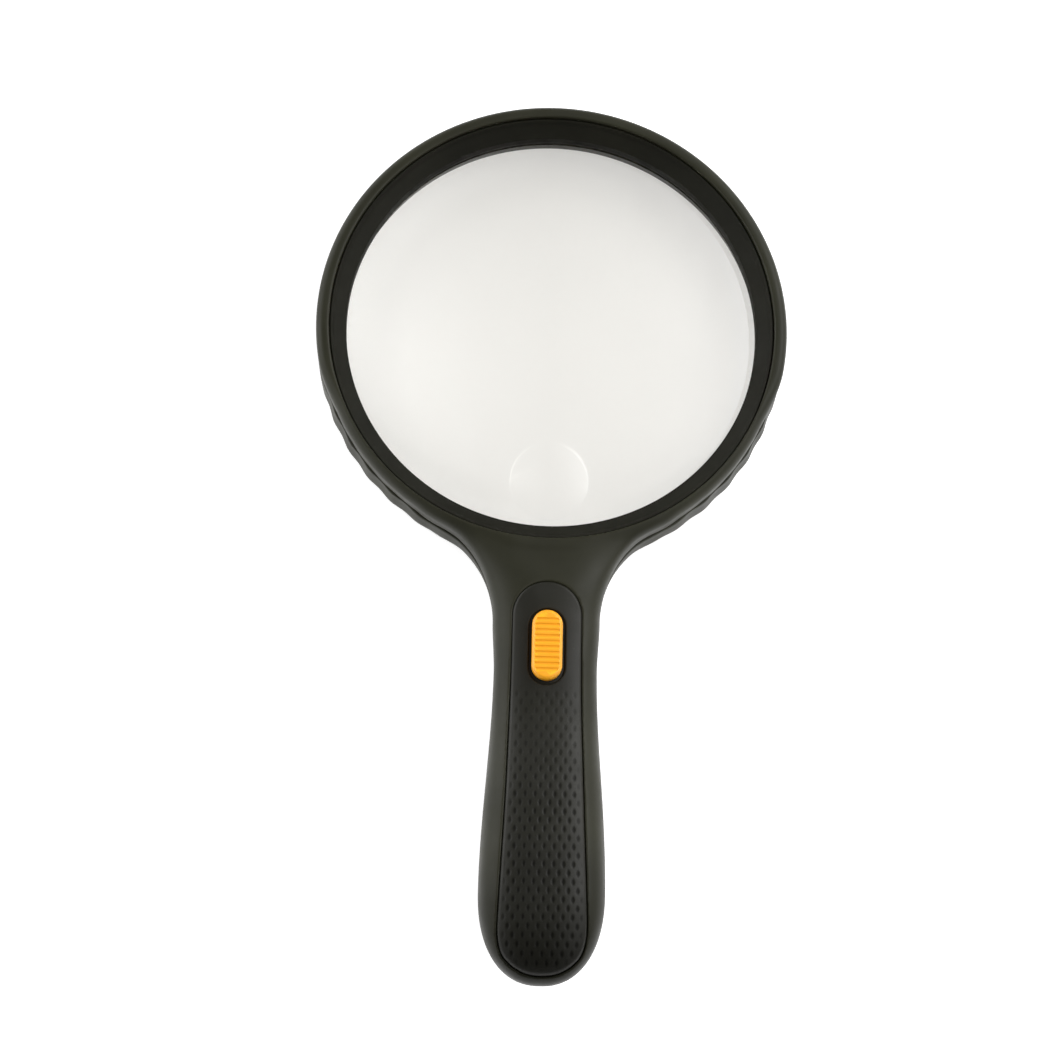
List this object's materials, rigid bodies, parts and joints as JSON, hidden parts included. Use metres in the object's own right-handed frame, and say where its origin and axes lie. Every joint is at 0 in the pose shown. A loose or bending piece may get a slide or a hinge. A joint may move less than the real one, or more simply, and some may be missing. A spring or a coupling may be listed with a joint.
{
  "type": "illuminated hand magnifier",
  "caption": "Large round hand magnifier with a strong round insert, a straight patterned grip, a ribbed thumb slide and a battery handle with lamps in the neck.",
  "frame": {"origin": "centre of the bounding box in X and Y, on the table plane that the back of the ring and the handle belly rest on", "axes": "+Z lens normal, out of the front; +Y from the butt of the handle towards the lens; +X to the right seen from the front"},
  "size_m": [0.1562, 0.2941, 0.027],
  "materials": {
    "shell_plastic": "olive black, satin",
    "lens_clear": "clear polished acrylic",
    "bezel_plastic": "black, fine matte",
    "grip_rubber": "black soft touch, diamond pattern",
    "knob_plastic": "orange, semi gloss",
    "bare_steel": "nickel plated sheet",
    "phenolic": "brown laminate",
    "contact_brass": "stamped",
    "black_plastic": "moulded",
    "screw_steel": "zinc plated",
    "window_clear": "clear",
    "board_green": "solder mask",
    "lamp_clear": "clear epoxy",
    "resistor_tan": "lacquered",
    "cell_label": "printed sleeve, plain",
    "spring_steel": "nickel plated",
    "wire_red": "insulated",
    "wire_white": "insulated",
    "wire_black": "insulated"
  },
  "bodies": {
    "housing": {"front_shell": "shell_plastic", "rear_shell": "shell_plastic", "lens_main": "lens_clear", "bifocal_lens": "lens_clear", "lens_bezel": "bezel_plastic", "grip_pad": "grip_rubber", "switch_frame": "bare_steel", "switch_base": "phenolic", "switch_terminals": "contact_brass", "switch_screws": "screw_steel", "lamp_window": "window_clear", "led_board": "board_green", "led_1": "lamp_clear", "led_2": "lamp_clear", "led_resistor": "resistor_tan", "cell_1": "cell_label", "cell_2": "cell_label", "cell_3": "cell_label", "spring_1": "spring_steel", "spring_2": "spring_steel", "spring_3": "spring_steel", "contact_plate_positive": "bare_steel", "bridge_plate_head": "bare_steel", "bridge_plate_butt": "bare_steel", "contact_plate_negative": "bare_steel", "housing_screws": "screw_steel", "wire_positive": "wire_red", "wire_switched": "wire_white", "wire_return": "wire_black"},
    "switch_slider": {"switch_knob": "knob_plastic", "switch_lever": "black_plastic", "switch_wiper": "contact_brass"},
    "door": {"battery_door": "shell_plastic"}
  },
  "joints": [
    {"name": "switch_slide", "type": "slide", "parent": "housing", "child": "switch_slider", "axis": [0, 1, 0], "range_m": [0, 0.004]},
    {"name": "battery_door_hinge", "type": "hinge", "parent": "housing", "child": "door", "pos_m": [0, -0.079, 0.00115], "axis": [1, 0, 0], "range_deg": [0, 75]}
  ]
}
